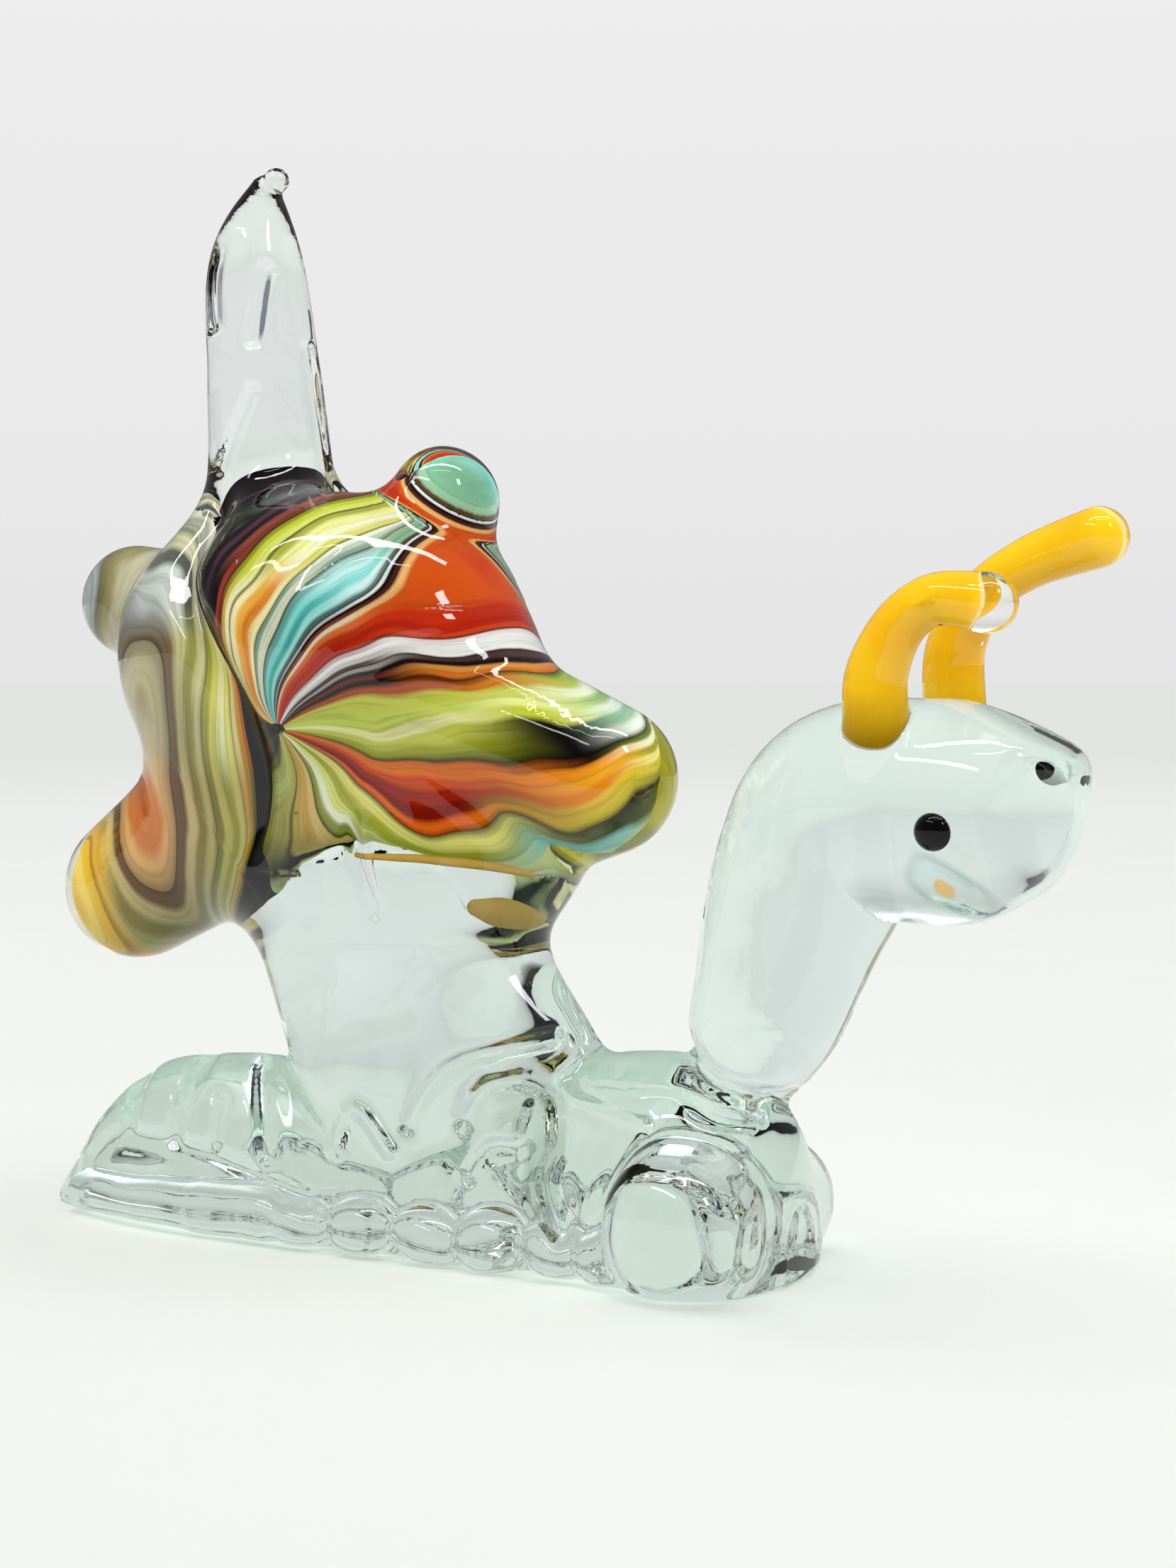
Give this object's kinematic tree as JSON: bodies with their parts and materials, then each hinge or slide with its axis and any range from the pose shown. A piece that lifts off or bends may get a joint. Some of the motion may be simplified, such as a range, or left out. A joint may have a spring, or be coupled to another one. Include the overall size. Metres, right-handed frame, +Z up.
{
  "type": "glass snail figurine",
  "caption": "Free-standing glass snail: clear crimped foot, bent neck and head with yellow tentacles, and a cased shell of twisted colour canes with drawn knobs and a spire.",
  "frame": {"origin": "on the sole's underside, in the middle of its width, below the stem", "axes": "+X forward towards the head, +Y to the snail's left, +Z up"},
  "size_m": [0.1364, 0.0408, 0.1276],
  "materials": {
    "clear_glass": "fire-polished, clear with a faint green tint",
    "yellow_glass": "fire-polished yellow",
    "black_glass": "fire-polished opaque black",
    "cane_01_plum": "fire-polished opaque plum",
    "cane_02_lime": "fire-polished opaque lime",
    "cane_03_amber": "fire-polished opaque amber",
    "cane_04_sage": "fire-polished opaque sage",
    "cane_05_turquoise": "fire-polished opaque turquoise",
    "cane_06_charcoal": "fire-polished opaque charcoal",
    "cane_07_rust": "fire-polished opaque rust",
    "cane_08_pearl": "fire-polished opaque pearl",
    "cane_09_umber": "fire-polished opaque umber",
    "cane_10_lime": "fire-polished opaque lime",
    "cane_11_vermilion": "fire-polished opaque vermilion",
    "cane_12_olive": "fire-polished opaque olive",
    "cane_13_gold": "fire-polished opaque gold",
    "cane_14_moss": "fire-polished opaque moss",
    "cane_15_black": "fire-polished opaque black",
    "cane_16_orange": "fire-polished opaque orange",
    "cane_17_cream": "fire-polished opaque cream",
    "cane_18_khaki": "fire-polished opaque khaki",
    "cane_19_chestnut": "fire-polished opaque chestnut"
  },
  "bodies": {
    "root": {"foot": "clear_glass", "right_crimped_edge": "clear_glass", "left_crimped_edge": "clear_glass", "right_front_lobe": "clear_glass", "left_front_lobe": "clear_glass", "head_and_neck": "clear_glass", "right_tentacle_casing": "clear_glass", "left_tentacle_casing": "clear_glass", "shell_core": "clear_glass", "shell_casing": "clear_glass", "shell_stem": "clear_glass", "spire": "clear_glass", "spire_bead": "clear_glass", "upper_front_knob": "clear_glass", "front_knob": "clear_glass", "upper_rear_knob": "clear_glass", "lower_rear_knob": "clear_glass", "right_tentacle_core": "yellow_glass", "left_tentacle_core": "yellow_glass", "right_eye": "black_glass", "left_eye": "black_glass", "cane_01_plum": "cane_01_plum", "cane_02_lime": "cane_02_lime", "cane_03_amber": "cane_03_amber", "cane_04_sage": "cane_04_sage", "cane_05_turquoise": "cane_05_turquoise", "cane_06_charcoal": "cane_06_charcoal", "cane_07_rust": "cane_07_rust", "cane_08_pearl": "cane_08_pearl", "cane_09_umber": "cane_09_umber", "cane_10_lime": "cane_10_lime", "cane_11_vermilion": "cane_11_vermilion", "cane_12_olive": "cane_12_olive", "cane_13_gold": "cane_13_gold", "cane_14_moss": "cane_14_moss", "cane_15_black": "cane_15_black", "cane_16_orange": "cane_16_orange", "cane_17_cream": "cane_17_cream", "cane_18_khaki": "cane_18_khaki", "cane_19_chestnut": "cane_19_chestnut"}
  },
  "joints": []
}
